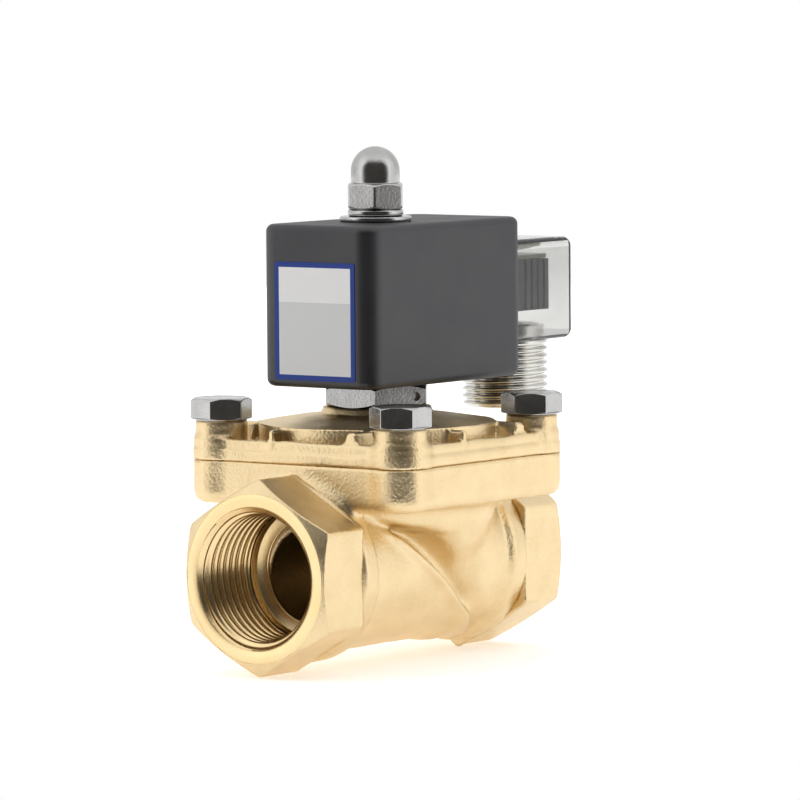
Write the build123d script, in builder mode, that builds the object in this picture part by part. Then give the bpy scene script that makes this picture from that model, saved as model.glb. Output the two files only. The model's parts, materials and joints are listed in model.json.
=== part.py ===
"""Two-way, normally closed, assisted-lift solenoid valve with G1 pipe ports.

Millimetres, +Z up. The origin is the centre of the outlet port's mouth, and +X runs along the
pipe axis to the inlet port. Heights are measured from the pipe axis.
"""

import math
import os

from build123d import *

os.makedirs("parts", exist_ok=True)

# ---- driving dimensions -------------------------------------------------------------------
body_length = 97.0  # face to face of the two ports
tube_x = 49.0  # the armature tube's axis, from the outlet face
lift = 8.0  # armature travel; the diaphragm travels three quarters of it
fit_gap = 0.05  # radial clearance of a running fit
seat_gap = 0.02  # radial clearance of a seated piece
past = 1.0  # how far a cut runs past the face it opens

# G1 ports: the bore is left at the thread's minor radius
thread_minor_r = 15.15
port_mouth_r = 17.0
port_mouth_depth = 0.85
port_hex_af = 41.0
port_hex_length = 15.5
port_face_r = 19.5  # where the 30 degree chamfer meets the face
port_depth = 19.0

# body forging
collar_r = 21.4
collar_length = 6.0
outlet_lobe_r = 19.4
inlet_lobe_r = 18.5
inlet_lobe_start = 8.0  # from the tube axis
barrel_r = 16.8
bowl_r = 30.8
bowl_outline = [(0, -13), (11, -12), (19, -6), (26.5, 4), (bowl_r, 12), (bowl_r, 17), (0, 17)]
lobe_reach = 24.0  # the outlet lobe's slope runs this far either side of the tube axis
lobe_slope_top = 15.0
flange_half = 32.6
flange_corner_r = 5.6
boss_r = 6.5
bolt_pitch = 53.5
flange_bottom = 15.4
parting = 25.9  # the plane between body and bonnet
forging_round = 2.0

# water ways
seat_top = 18.0
orifice_r = 12.5
seat_r = 15.4
chamber_r = 26.6
chamber_floor = 13.0
passage_r = 12.2
passage_drop = 2.0
inlet_pocket_half = 11.5
inlet_pocket_floor = -9.0
inlet_pocket_wall = 1.0
inlet_passage_start = 6.0  # past the seat's wall
clamp_r = 28.6
clamp_floor = 24.4

# bonnet
bonnet_step = 28.8
bonnet_floor = 29.4
bonnet_rim = 31.2
boss_top = 35.2
rim_width = 1.5
disc_r = 28.8
disc_top = 34.2
dome_top = 36.3
hub_r = 13.0
hub_top = 38.0
disc_round = 0.8
disc_flat = 4.0
dome_rise = 0.7  # the disc's top climbs this much over its outer band
side_inset = 0.5  # the sides step in above the lower band
cavity_lip = 0.9
cavity_roof = 32.4
tube_hole_r = 9.0

# bonnet bolts, M8
bolt_af = 13.0
bolt_head = 5.3
bolt_shank_r = 3.95
bolt_hole_r = 4.0
bolt_length = 16.0
bolt_hole_depth = 17.0
bolt_washer_face = 0.35
bonnet_hole_r = 4.4

# armature tube and core
tube_hex_af = 24.0
tube_hex_angle = 34.5
tube_hex_top = 43.3
tube_bottom = 30.4
tube_bore_wide = 8.6
tube_r = 8.0
tube_bore = 7.2
tube_top = 82.2
tube_cap = 1.0
groove_inner = 9.3
groove_outer = 10.9
groove_depth = 1.2
dimple_r = 1.1
dimple_place = (4.3, 40.6)  # along the flat, and its height
armature_r = 7.13
armature_bottom = 29.5
armature_top = 64.0
core_bottom = armature_top + lift + 0.1
spring_hole_r = 4.4
stud_r = 4.0
stud_top = 96.6
stud_point = 0.8

# coil
coil_near = -24.5  # ends along X, from the tube axis
coil_far = 38.5
coil_half_width = 16.75
coil_bottom = 43.5
coil_top = 82.3
coil_corner_r = 4.6
coil_edge_r = 1.8
coil_bore_r = tube_r + fit_gap
top_seal_r = 8.6
top_seal_depth = 1.2
bottom_seal_r = 10.0
bottom_seal_depth = 1.4
pocket_near = -18.0
pocket_far = 20.0
pocket_half_width = 15.1
pocket_bottom = 45.6
pocket_top = 80.3
label_width = 23.8
label_bottom = 45.3
label_top = 73.5
label_thickness = 0.12

# plug connector
plug_near = 39.9
plug_far = 65.4
plug_half_width = 12.5
plug_bottom = 51.0
plug_top = 76.2
plug_wall = 1.3
plug_round = 2.4
plug_end_round = 2.0
conduit_x = 53.2
conduit_r = 10.55
conduit_bore_r = 7.9
neck_r = 7.6
neck_bore_r = 6.6
conduit_bottom = 34.5
conduit_bore_depth = 15.0
conduit_chamfer = 0.8
hub_nut_wall = 1.6
hub_nut_height = 2.2
block_near = 40.3
block_far = 56.4
block_half = 10.4
block_bottom = 58.6
block_top = 71.1
blade_width = 6.0
blade_thickness = 0.8
blade_y = 7.6
blade_z = 64.6
earth_z = 60.6
blade_start = 33.0
blade_end = 47.5
screw_z = 67.5
screw_hole_r = 1.8
screw_depth = 5.0  # into the coil
screw_r = 1.45
screw_head_r = 2.8
screw_head = 1.9
slot_width = 0.7
slot_depth = 0.9
socket_outer = 0.85  # a socket's skin, grown from its blade
socket_inner = 0.35
clamp_screw_r = 1.8
clamp_screw_z = 62.0
clamp_screw_depth = 4.0
rib_count = 4
rib_pitch = 2.6
rib_gap = 1.1
rib_depth = 0.6

# ---- planes, axes and shared shapes --------------------------------------------------------
pipe_section = Plane.XZ
tube_section = Plane(origin=(tube_x, 0, 0), x_dir=(1, 0, 0), z_dir=(0, -1, 0))
tube_axis = Axis((tube_x, 0, 0), (0, 0, 1))
bolt_corners = [(sx * bolt_pitch / 2, sy * bolt_pitch / 2) for sx in (-1, 1) for sy in (-1, 1)]
bolt_angles = [-2.0, 17.0, 2.0, 35.0]  # how each head came to rest, in the corners' order
conduit_axis = Axis((tube_x + conduit_x, 0, 0), (0, 0, 1))
conduit_section = Plane(origin=(tube_x + conduit_x, 0, 0), x_dir=(1, 0, 0), z_dir=(0, -1, 0))
hex_corner_ratio = 2 / math.sqrt(3)
chamfer_slope = math.tan(math.radians(30))


def level(z):
    """The horizontal plane at height z, centred on the tube axis."""
    return Plane(origin=(tube_x, 0, z))


def upright(x, z=screw_z):
    """The plane across the coil at x from the tube axis, centred at height z."""
    return Plane(origin=(tube_x + x, 0, z), x_dir=(0, 1, 0), z_dir=(1, 0, 0))


def across(x):
    """The plane across the pipe at x, with Y along its first axis and Z along its second."""
    return Plane(origin=(x, 0, 0), x_dir=(0, 1, 0), z_dir=(1, 0, 0))


def turned(outline, section=tube_section, axis=tube_axis):
    """A turned solid from the (radius, height) corners of its half section."""
    with BuildPart() as solid:
        with BuildSketch(section):
            with BuildLine():
                Polyline(*outline, close=True)
            make_face()
        revolve(axis=axis)
    return solid.part


def ring(inner, outer, bottom, top, section=tube_section, axis=tube_axis):
    """A ring about the tube axis, or a disc where inner is 0."""
    return turned([(inner, bottom), (outer, bottom), (outer, top), (inner, top)], section, axis)


def conduit_ring(inner, outer, bottom, top):
    return ring(inner, outer, bottom, top, conduit_section, conduit_axis)


def block(near, far, half_width, bottom, top, y=0.0):
    """A box given by its ends along X from the tube axis, half its width, and its heights."""
    with BuildPart() as solid:
        with BuildSketch(level(bottom)):
            with Locations(((near + far) / 2, y)):
                Rectangle(far - near, 2 * half_width)
        extrude(amount=top - bottom)
    return solid.part


def hexagon(across_flats, bottom, top, angle):
    """A hexagonal prism on the tube axis, with both ends chamfered at 30 degrees."""
    corner_r = across_flats / 2 * hex_corner_ratio
    rise = (corner_r - across_flats / 2) * chamfer_slope
    with BuildPart() as solid:
        with BuildSketch(level(bottom)):
            RegularPolygon(across_flats / 2, 6, major_radius=False, rotation=angle)
        extrude(amount=top - bottom)
        with BuildSketch(tube_section):
            with BuildLine():
                Polyline(
                    (0, bottom),
                    (across_flats / 2, bottom),
                    (corner_r, bottom + rise),
                    (corner_r, top - rise),
                    (across_flats / 2, top),
                    (0, top),
                    close=True,
                )
            make_face()
        revolve(axis=tube_axis, mode=Mode.INTERSECT)
    return solid.part


def save(piece, name):
    """Labels a finished piece and writes it to its own file."""
    piece.label = name
    export_step(piece, f"parts/{name}.step")


# ---- valve body ----------------------------------------------------------------------------
def port_hexagon():
    """The outlet end's hexagon, corner up, with its outer corners chamfered."""
    corner_r = port_hex_af / 2 * hex_corner_ratio
    rise = (corner_r - port_face_r) * chamfer_slope
    with BuildPart() as solid:
        with BuildSketch(across(0)):
            RegularPolygon(port_hex_af / 2, 6, major_radius=False, rotation=30)
        extrude(amount=port_hex_length)
        with BuildSketch(pipe_section):
            with BuildLine():
                Polyline(
                    (0, 0),
                    (0, port_face_r),
                    (rise, corner_r),
                    (port_hex_length, corner_r),
                    (port_hex_length, 0),
                    close=True,
                )
            make_face()
        revolve(axis=Axis.X, mode=Mode.INTERSECT)
    return solid.part


def port_bore():
    """The outlet end's bore at the thread's minor radius, with a countersunk mouth."""
    return turned(
        [
            (-past, 0),
            (-past, port_mouth_r),
            (0, port_mouth_r),
            (port_mouth_depth, thread_minor_r),
            (port_depth, thread_minor_r),
            (port_depth, 0),
        ],
        pipe_section,
        Axis.X,
    )


def make_flange():
    """The square flange, its corner bosses standing a little proud of its sides."""
    with BuildPart() as solid:
        with BuildSketch(level(flange_bottom)):
            RectangleRounded(2 * flange_half, 2 * flange_half, flange_corner_r)
            with Locations(*bolt_corners):
                Circle(boss_r)
        extrude(amount=parting - flange_bottom)
        fillet(solid.edges().group_by(Axis.Z)[0], forging_round)
    return solid.part


def make_outlet_lobe():
    """The outlet passage's round belly, which ends along a slope under the seat."""
    lobe_end = tube_x + lobe_reach
    slope_start = (tube_x - lobe_reach, lobe_slope_top)
    with BuildPart() as solid:
        with BuildSketch(across(port_hex_length)):
            Circle(outlet_lobe_r)
        extrude(amount=lobe_end - port_hex_length)
        with BuildSketch(pipe_section):
            with BuildLine():
                Polyline(
                    slope_start,
                    (lobe_end, -outlet_lobe_r),
                    (lobe_end, collar_r),
                    (slope_start[0], collar_r),
                    close=True,
                )
            make_face()
        extrude(amount=collar_r, both=True, mode=Mode.SUBTRACT)
    return solid.part


def make_valve_body():
    inlet_side = Plane(origin=(body_length / 2, 0, 0), z_dir=(1, 0, 0))
    outlet_hexagon = port_hexagon()
    outlet_bore = port_bore()
    inlet_lobe_near = tube_x + inlet_lobe_start
    inlet_passage_near = tube_x + seat_r + inlet_passage_start
    with BuildPart() as body:
        add(make_flange())
        add(outlet_hexagon)
        add(mirror(outlet_hexagon, about=inlet_side))
        with BuildSketch(across(port_hex_length)):
            Circle(collar_r)
        extrude(amount=collar_length)
        with BuildSketch(across(body_length - port_hex_length - collar_length)):
            Circle(collar_r)
        extrude(amount=collar_length)
        with BuildSketch(across(port_hex_length)):
            Circle(barrel_r)
        extrude(amount=body_length - 2 * port_hex_length)
        with BuildSketch(across(inlet_lobe_near)):
            Circle(inlet_lobe_r)
        extrude(amount=body_length - port_hex_length - inlet_lobe_near)
        add(make_outlet_lobe())
        add(turned(bowl_outline))
        # bores
        add(outlet_bore, mode=Mode.SUBTRACT)
        add(mirror(outlet_bore, about=inlet_side), mode=Mode.SUBTRACT)
        with BuildSketch(Plane(origin=(port_depth, 0, -passage_drop), z_dir=(1, 0, 0))):
            Circle(passage_r)
        extrude(amount=tube_x - port_depth, mode=Mode.SUBTRACT)
        with BuildSketch(level(-passage_drop)):
            Circle(orifice_r)
        extrude(amount=parting + passage_drop, mode=Mode.SUBTRACT)
        with Locations((tube_x, 0, -passage_drop)):
            Sphere(orifice_r, mode=Mode.SUBTRACT)
        add(ring(seat_r, chamber_r, chamber_floor, parting + past), mode=Mode.SUBTRACT)
        add(ring(0, seat_r + past, seat_top, parting + past), mode=Mode.SUBTRACT)
        add(ring(0, clamp_r, clamp_floor, parting + past), mode=Mode.SUBTRACT)
        add(
            block(
                seat_r + inlet_pocket_wall,
                chamber_r,
                inlet_pocket_half,
                inlet_pocket_floor,
                chamber_floor + past,
            ),
            mode=Mode.SUBTRACT,
        )
        with BuildSketch(across(inlet_passage_near)):
            Circle(passage_r)
        extrude(amount=body_length - port_depth - inlet_passage_near, mode=Mode.SUBTRACT)
        with BuildSketch(level(boss_top - bolt_hole_depth)):
            with Locations(*bolt_corners):
                Circle(bolt_hole_r)
        extrude(amount=bolt_hole_depth, mode=Mode.SUBTRACT)
    return body.part


# ---- bonnet and its bolts ------------------------------------------------------------------
def make_bonnet():
    """The cover: stepped sides, a trough inside its rim, a coned disc and four bolt bosses."""
    upper_half = flange_half - side_inset
    trough = upper_half - rim_width
    cavity = turned(
        [
            (0, parting - past),
            (chamber_r, parting - past),
            (chamber_r, parting + cavity_lip),
            (hub_r, cavity_roof),
            (0, cavity_roof),
        ]
    )
    disc = turned(
        [
            (0, parting + past),
            (disc_r, parting + past),
            (disc_r, disc_top - disc_round),
            (disc_r - disc_round, disc_top),
            (disc_r - disc_flat, disc_top + dome_rise),
            (hub_r + 2 * disc_round, dome_top),
            (hub_r, hub_top - disc_round),
            (hub_r - disc_round, hub_top),
            (0, hub_top),
        ]
    )
    with BuildPart() as bonnet:
        with BuildSketch(level(parting)):
            RectangleRounded(2 * flange_half, 2 * flange_half, flange_corner_r)
            with Locations(*bolt_corners):
                Circle(boss_r)
        extrude(amount=bonnet_step - parting)
        with BuildSketch(level(bonnet_step)):
            RectangleRounded(2 * upper_half, 2 * upper_half, flange_corner_r)
        extrude(amount=bonnet_rim - bonnet_step)
        with BuildSketch(level(bonnet_floor)):
            RectangleRounded(2 * trough, 2 * trough, flange_corner_r - rim_width)
        extrude(amount=bonnet_rim, mode=Mode.SUBTRACT)
        add(disc)
        with BuildSketch(level(bonnet_step)):
            with Locations(*bolt_corners):
                Circle(boss_r)
        extrude(amount=boss_top - bonnet_step)
        add(cavity, mode=Mode.SUBTRACT)
        with BuildSketch(level(parting)):
            Circle(tube_hole_r)
        extrude(amount=hub_top, mode=Mode.SUBTRACT)
        with BuildSketch(level(parting)):
            with Locations(*bolt_corners):
                Circle(bonnet_hole_r)
        extrude(amount=boss_top, mode=Mode.SUBTRACT)
    return bonnet.part


def make_bonnet_bolts():
    """Four hexagon bolts, each made on the tube axis and set in its corner as it came to rest."""
    bolts = []
    for (x, y), angle in zip(bolt_corners, bolt_angles):
        with BuildPart() as bolt:
            add(hexagon(bolt_af, boss_top + bolt_washer_face, boss_top + bolt_head, angle))
            add(ring(0, bolt_af / 2 - 0.2, boss_top, boss_top + bolt_washer_face))
            add(ring(0, bolt_shank_r, boss_top - bolt_length, boss_top))
        bolts.append(bolt.part.moved(Location((x, y, 0))))
    return Compound(children=bolts)


# ---- diaphragm group -----------------------------------------------------------------------
diaphragm_thickness = 1.6
diaphragm_top = seat_top + diaphragm_thickness
dish_inner = seat_r + 0.8  # the slope between the seat and the clamped rim
dish_outer = 23.6
dish_shift = 0.6  # the upper face's bends lie this much further in
lift_plate_r = seat_r - 1
plate_top = diaphragm_top + 1.4
lower_plate_r = orifice_r - 2
lower_plate_bottom = seat_top - 2.2
stud_hole_r = 4.2
stud_head_r = 6.2
stud_head = 1.8
pilot_r = 1.5
pilot_seat_r = 2.0
pilot_shoulder_r = 2.8
pilot_top = 27.0
hook_bottom = 24.4
hook_top = 26.0
hook_r = 6.6
nut_waist_r = 4.95


def make_diaphragm():
    """A dished rubber disc: flat on the seat, one slope, and a rim clamped in the body."""
    return turned(
        [
            (stud_hole_r, seat_top),
            (dish_inner, seat_top),
            (dish_outer, clamp_floor),
            (clamp_r, clamp_floor),
            (clamp_r, parting),
            (dish_outer - dish_shift, parting),
            (dish_inner - dish_shift, diaphragm_top),
            (stud_hole_r, diaphragm_top),
        ]
    )


def make_lift_plate():
    return ring(stud_hole_r, lift_plate_r, diaphragm_top, plate_top)


def make_lower_plate():
    return ring(stud_hole_r, lower_plate_r, lower_plate_bottom, seat_top)


def make_centre_stud():
    """A headed stud, bored through as the pilot passage, with the pilot seat at its top."""
    shank_r = stud_hole_r - seat_gap
    return turned(
        [
            (pilot_r, lower_plate_bottom - stud_head),
            (stud_head_r, lower_plate_bottom - stud_head),
            (stud_head_r, lower_plate_bottom),
            (shank_r, lower_plate_bottom),
            (shank_r, hook_top),
            (pilot_shoulder_r, hook_top + 0.2),
            (pilot_seat_r, pilot_top),
            (pilot_r, pilot_top),
        ]
    )


def make_centre_nut():
    """The nut that clamps the plates. Its flange is what the armature's hanger hooks under."""
    return turned(
        [
            (stud_hole_r, plate_top),
            (nut_waist_r, plate_top),
            (nut_waist_r, hook_bottom),
            (hook_r, hook_bottom),
            (hook_r, hook_top),
            (stud_hole_r, hook_top),
        ]
    )


# ---- armature group ------------------------------------------------------------------------
spring_radius = 3.3
spring_wire_r = 0.45
spring_seat = 54.0
spring_roof = 75.0
spring_turns = 7
seal_r = 3.2
seal_depth = 3.0
flat_depth = 0.8
flat_width = 6.0
hanger_r = 8.15
hanger_wall = 0.9
hanger_lip_r = 5.4
hanger_window = (7.0, 5.5)  # width and height of the openings in its walls


def make_armature():
    """A steel plunger with a spring pocket in its top and two flats for flow past it."""
    with BuildPart() as armature:
        add(ring(0, armature_r, armature_bottom, armature_top))
        add(ring(0, spring_hole_r, spring_seat, armature_top + past), mode=Mode.SUBTRACT)
        with BuildSketch(level(armature_bottom)):
            Circle(seal_r)
        extrude(amount=seal_depth, mode=Mode.SUBTRACT)
        with BuildSketch(level(armature_bottom)):
            with Locations((-armature_r, 0), (armature_r, 0)):
                Rectangle(2 * flat_depth, flat_width)
        extrude(amount=armature_top, mode=Mode.SUBTRACT)
    return armature.part


def make_armature_seal():
    return ring(0, seal_r - seat_gap, pilot_top, armature_bottom + seal_depth - 0.1)


def make_link_hanger():
    """A stirrup under the armature: a roof, two side walls and a lip that hooks the nut."""
    roof = armature_bottom - hanger_wall
    lip_bottom = plate_top + 0.4
    lip_top = lip_bottom + 0.8
    window_width, window_height = hanger_window
    with BuildPart() as hanger:
        add(ring(seal_r + 0.1, hanger_r, roof, armature_bottom))
        add(ring(hanger_r - hanger_wall, hanger_r, lip_bottom, roof))
        add(ring(hanger_lip_r, hanger_r, lip_bottom, lip_top))
        with BuildSketch(level(lip_top)):
            Rectangle(2 * (hanger_r + past), window_width)
        extrude(amount=window_height, mode=Mode.SUBTRACT)
    return hanger.part


def make_armature_spring():
    height = spring_roof - spring_seat - 2 * spring_wire_r
    base = Plane(origin=(tube_x, 0, spring_seat + spring_wire_r))
    with BuildPart() as spring:
        with BuildLine(base) as coil_path:
            Helix(pitch=height / spring_turns, height=height, radius=spring_radius)
        with BuildSketch(Plane(origin=coil_path.line @ 0, z_dir=coil_path.line % 0)):
            Circle(spring_wire_r)
        sweep(path=coil_path.line, is_frenet=True)
    return spring.part


# ---- armature tube and core ----------------------------------------------------------------
def make_armature_tube():
    """Stainless tube with a hexagonal base, screwed into the bonnet."""
    along_flat, dimple_z = dimple_place
    flat = Vector(1, 0, 0).rotate(Axis.Z, tube_hex_angle - 150)
    along = Vector(0, 1, 0).rotate(Axis.Z, tube_hex_angle - 150)
    dimple = level(dimple_z).origin + flat * (tube_hex_af / 2) + along * along_flat
    with BuildPart() as tube:
        add(hexagon(tube_hex_af, hub_top, tube_hex_top, tube_hex_angle))
        add(ring(0, tube_hole_r - seat_gap, tube_bottom, hub_top))
        add(ring(0, tube_r, tube_hex_top, tube_top))
        add(
            ring(groove_inner, groove_outer, hub_top - past, hub_top + groove_depth),
            mode=Mode.SUBTRACT,
        )
        add(ring(0, tube_bore_wide, tube_bottom - past, hub_top + 1.5), mode=Mode.SUBTRACT)
        add(ring(0, tube_bore, tube_bottom, tube_top - tube_cap), mode=Mode.SUBTRACT)
        add(ring(0, stud_r + seat_gap, tube_bore_wide, tube_top + past), mode=Mode.SUBTRACT)
        with BuildSketch(Plane(origin=dimple, z_dir=flat)):
            Circle(dimple_r)
        extrude(amount=-dimple_r, mode=Mode.SUBTRACT)
    return tube.part


def make_fixed_core():
    """The magnet's fixed pole, with the stud that the coil's nut goes on."""
    core_r = tube_bore - seat_gap
    core_top = tube_top - tube_cap
    return turned(
        [
            (0, spring_roof),
            (spring_hole_r, spring_roof),
            (spring_hole_r, core_bottom),
            (core_r, core_bottom),
            (core_r, core_top),
            (stud_r, core_top),
            (stud_r, stud_top - stud_point),
            (stud_r - stud_point, stud_top),
            (0, stud_top),
        ]
    )


def make_tube_o_ring():
    return ring(
        groove_inner + seat_gap, groove_outer - seat_gap, hub_top, hub_top + groove_depth - seat_gap
    )


# ---- coil ----------------------------------------------------------------------------------
bobbin_inner = 9.2
bobbin_tube_r = 10.4
winding_r = 14.2
bobbin_flange_r = 14.9
bobbin_flange = 1.4
yoke_plate = 3.0
yoke_half_width = 12.0
yoke_bottom = pocket_bottom + 0.2
yoke_top = pocket_top - 0.2
bobbin_bottom = yoke_bottom + yoke_plate + 0.1
bobbin_top = yoke_top - yoke_plate - 0.1
yoke_near = -16.2
yoke_far = 19.6
sleeve_bore_r = coil_bore_r + 0.1
lower_sleeve = 8.0
upper_sleeve = 9.0


def blade_cuts(clearance, start, end):
    """The three connector blades, or the slots for them, grown by clearance."""
    half_thick = blade_thickness / 2 + clearance
    half_wide = blade_width / 2 + clearance
    upright = [
        block(start, end, half_thick, blade_z - half_wide, blade_z + half_wide, side * blade_y)
        for side in (-1, 1)
    ]
    flat = block(start, end, half_wide, earth_z - half_thick, earth_z + half_thick)
    return [*upright, flat]


def make_coil_housing():
    """The moulded coil body, hollow round the frame and winding."""
    with BuildPart() as coil:
        with BuildSketch(level(coil_bottom)):
            with Locations(((coil_near + coil_far) / 2, 0)):
                RectangleRounded(coil_far - coil_near, 2 * coil_half_width, coil_corner_r)
        extrude(amount=coil_top - coil_bottom)
        fillet(coil.edges().group_by(Axis.Z)[0], coil_edge_r)
        fillet(coil.edges().group_by(Axis.Z)[-1], coil_edge_r)
        cavity = block(pocket_near, pocket_far, pocket_half_width, pocket_bottom, pocket_top)
        add(cavity, mode=Mode.SUBTRACT)
        add(ring(0, coil_bore_r, coil_bottom - past, coil_top + past), mode=Mode.SUBTRACT)
        bottom_recess = ring(
            0, bottom_seal_r, coil_bottom - past, coil_bottom + bottom_seal_depth
        )
        add(bottom_recess, mode=Mode.SUBTRACT)
        top_recess = ring(0, top_seal_r, coil_top - top_seal_depth, coil_top + past)
        add(top_recess, mode=Mode.SUBTRACT)
        for slot in blade_cuts(0, blade_start, coil_far + past):
            add(slot, mode=Mode.SUBTRACT)
        with BuildSketch(upright(coil_far)):
            Circle(screw_hole_r)
        extrude(amount=-screw_depth, mode=Mode.SUBTRACT)
    return coil.part


def make_coil_label():
    """A thin plate on the coil's outlet end."""
    centre = (label_bottom + label_top) / 2
    face = Plane(origin=(tube_x + coil_near, 0, centre), x_dir=(0, -1, 0), z_dir=(-1, 0, 0))
    with BuildPart() as label:
        with BuildSketch(face):
            RectangleRounded(label_width, label_top - label_bottom, 0.6)
        extrude(amount=label_thickness)
    return label.part


def make_bobbin():
    return turned(
        [
            (bobbin_inner, bobbin_bottom),
            (bobbin_flange_r, bobbin_bottom),
            (bobbin_flange_r, bobbin_bottom + bobbin_flange),
            (bobbin_tube_r, bobbin_bottom + bobbin_flange),
            (bobbin_tube_r, bobbin_top - bobbin_flange),
            (bobbin_flange_r, bobbin_top - bobbin_flange),
            (bobbin_flange_r, bobbin_top),
            (bobbin_inner, bobbin_top),
        ]
    )


def make_winding():
    inset = bobbin_flange + fit_gap
    return ring(
        bobbin_tube_r + seat_gap, winding_r, bobbin_bottom + inset, bobbin_top - inset
    )


def make_yoke_frame():
    """A C of steel strip round the bobbin, bored for the tube."""
    with BuildPart() as yoke:
        add(block(yoke_near, yoke_far, yoke_half_width, yoke_bottom, yoke_bottom + yoke_plate))
        add(block(yoke_near, yoke_far, yoke_half_width, yoke_top - yoke_plate, yoke_top))
        add(block(yoke_far - yoke_plate, yoke_far, yoke_half_width, yoke_bottom, yoke_top))
        add(ring(0, sleeve_bore_r, yoke_bottom - past, yoke_top + past), mode=Mode.SUBTRACT)
    return yoke.part


def make_pole_sleeve(bottom, top):
    return ring(sleeve_bore_r, bobbin_inner - fit_gap, bottom, top)


def make_coil_terminals():
    return Compound(children=blade_cuts(0, blade_start, blade_end))


def make_lower_coil_seal():
    outer = bottom_seal_r - 0.1
    return ring(sleeve_bore_r, outer, coil_bottom, coil_bottom + bottom_seal_depth)


def make_upper_coil_seal():
    return ring(sleeve_bore_r, top_seal_r - seat_gap, coil_top - top_seal_depth, coil_top)


# ---- coil fasteners ------------------------------------------------------------------------
washer_bottom = coil_top + 0.1
washer_thickness = 1.2
washer_r = 8.65
lock_thickness = 1.7
lock_washer_r = 6.6
lock_gap = 0.9
lock_gap_angle = 20
nut_bottom = washer_bottom + washer_thickness + lock_thickness
nut_hex = 6.6
nut_height = 15.0
nut_angle = 35
dome_r = 6.1


def make_flat_washer():
    return ring(stud_r + 0.2, washer_r, washer_bottom, washer_bottom + washer_thickness)


def make_lock_washer():
    """A ring of square wire, split by one slanted gap."""
    bottom = washer_bottom + washer_thickness
    with BuildPart() as washer:
        add(ring(stud_r + 0.1, lock_washer_r, bottom, bottom + lock_thickness))
        with BuildSketch(level(bottom)):
            with Locations(Location((-(stud_r + lock_washer_r) / 2, 0), lock_gap_angle)):
                Rectangle(lock_washer_r - stud_r + past, lock_gap)
        extrude(amount=lock_thickness, mode=Mode.SUBTRACT)
    return washer.part


def make_cap_nut():
    """A domed nut: a hexagon under a short neck and a half ball, with a blind bore."""
    neck_top = nut_bottom + nut_height - dome_r
    with BuildPart() as nut:
        add(hexagon(bolt_af, nut_bottom, nut_bottom + nut_hex, nut_angle))
        add(ring(0, dome_r, nut_bottom + nut_hex - past, neck_top))
        with Locations((tube_x, 0, neck_top)):
            Sphere(dome_r)
        bore = ring(0, stud_r + fit_gap, nut_bottom - past, stud_top + 0.4)
        add(bore, mode=Mode.SUBTRACT)
    return nut.part


# ---- plug connector ------------------------------------------------------------------------
def make_connector_housing():
    """A clear box, open towards the coil, with a hole for the hub and one for the screw."""
    cavity = block(
        plug_near - past,
        plug_far - plug_wall,
        plug_half_width - plug_wall,
        plug_bottom + plug_wall,
        plug_top - plug_wall,
    )
    with BuildPart() as housing:
        add(block(plug_near, plug_far, plug_half_width, plug_bottom, plug_top))
        fillet(housing.edges().filter_by(Axis.X), plug_round)
        fillet(housing.faces().sort_by(Axis.X)[-1].edges(), plug_end_round)
        add(cavity, mode=Mode.SUBTRACT)
        with BuildSketch(level(plug_bottom)):
            with Locations((conduit_x, 0)):
                Circle(neck_r + fit_gap)
        extrude(amount=plug_wall, mode=Mode.SUBTRACT)
        with BuildSketch(upright(plug_far)):
            Circle(screw_hole_r)
        extrude(amount=-plug_wall, mode=Mode.SUBTRACT)
    return housing.part


def make_conduit_hub():
    """A plated hub that leaves the connector downwards, bored for the conductors."""
    neck_top = plug_bottom + plug_wall + hub_nut_height + 0.4
    bore_top = conduit_bottom + conduit_bore_depth
    with BuildPart() as hub:
        add(conduit_ring(0, conduit_r, conduit_bottom, plug_bottom - fit_gap))
        chamfer(hub.edges().group_by(Axis.Z)[0], conduit_chamfer)
        add(conduit_ring(0, neck_r, plug_bottom - past, neck_top))
        bore = conduit_ring(0, conduit_bore_r, conduit_bottom - past, bore_top)
        add(bore, mode=Mode.SUBTRACT)
        add(conduit_ring(0, neck_bore_r, conduit_bottom, neck_top + past), mode=Mode.SUBTRACT)
    return hub.part


def make_hub_nut():
    inner = neck_r + seat_gap
    bottom = plug_bottom + plug_wall
    return conduit_ring(inner, inner + hub_nut_wall, bottom, bottom + hub_nut_height)


def make_terminal_block():
    """The ribbed insert that carries the sockets."""
    with BuildPart() as insert:
        add(block(block_near, block_far, block_half, block_bottom, block_top))
        for rib in range(rib_count):
            near = block_far - rib_pitch * (rib + 1)
            for side in (-1, 1):
                middle = side * block_half
                groove = block(near, near + rib_gap, rib_depth, block_bottom, block_top, middle)
                add(groove, mode=Mode.SUBTRACT)
        for slot in blade_cuts(socket_outer + fit_gap, block_near - past, blade_end + past):
            add(slot, mode=Mode.SUBTRACT)
        with BuildSketch(upright(block_near)):
            Circle(screw_hole_r + 0.2)
        extrude(amount=block_far - block_near, mode=Mode.SUBTRACT)
        with BuildSketch(upright(block_far, clamp_screw_z)):
            with Locations((blade_y, 0), (-blade_y, 0)):
                Circle(clamp_screw_r + 0.1)
        extrude(amount=-clamp_screw_depth, mode=Mode.SUBTRACT)
    return insert.part


def make_terminal_sockets():
    """Three sleeves of folded strip, one round each blade."""
    sleeves = []
    outer = blade_cuts(socket_outer, block_near + past, blade_end + past / 2)
    inner = blade_cuts(socket_inner, block_near, blade_end + past)
    for skin, hollow in zip(outer, inner):
        with BuildPart() as sleeve:
            add(skin)
            add(hollow, mode=Mode.SUBTRACT)
        sleeves.append(sleeve.part)
    return Compound(children=sleeves)


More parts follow.
